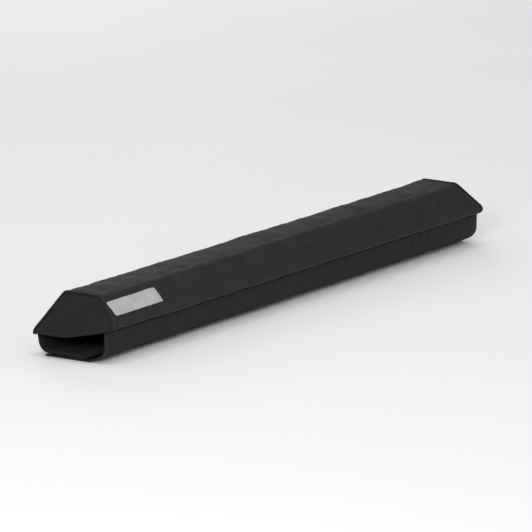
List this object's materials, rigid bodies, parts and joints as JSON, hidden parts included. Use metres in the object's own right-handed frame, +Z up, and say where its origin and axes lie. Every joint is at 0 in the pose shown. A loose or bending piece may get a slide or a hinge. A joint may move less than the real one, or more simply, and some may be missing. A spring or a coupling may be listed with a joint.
{
  "type": "roof rack pad",
  "caption": "Long foam pad with raked ends in a sewn black cover, with flaps that close round a wing-shaped roof bar with hook-and-loop tape.",
  "frame": {"origin": "middle of the pad's length and width, on the plane of the flap's underside", "axes": "+X along the bar, -Y towards the leading edge with the patch, +Z up through the flat top"},
  "size_m": [0.7626, 0.1028, 0.0725],
  "materials": {
    "woven_cover": "coated woven polyester, matte black",
    "piping": "folded woven bias tape over cord, matte black",
    "lining": "plain woven lining with a rubbery coat",
    "foam": "closed-cell foam",
    "hook_tape": "hook side of hook-and-loop tape",
    "loop_tape": "loop side of hook-and-loop tape",
    "label": "plain light print film, slightly satin"
  },
  "bodies": {
    "root": {"foam_core": "foam", "top_cover": "woven_cover", "left_end_panel": "woven_cover", "right_end_panel": "woven_cover", "left_end_piping": "piping", "right_end_piping": "piping", "seat_lining": "lining", "front_flap": "woven_cover", "rear_flap": "woven_cover", "hook_tape": "hook_tape", "loop_tape": "loop_tape", "side_label": "label"}
  },
  "joints": []
}
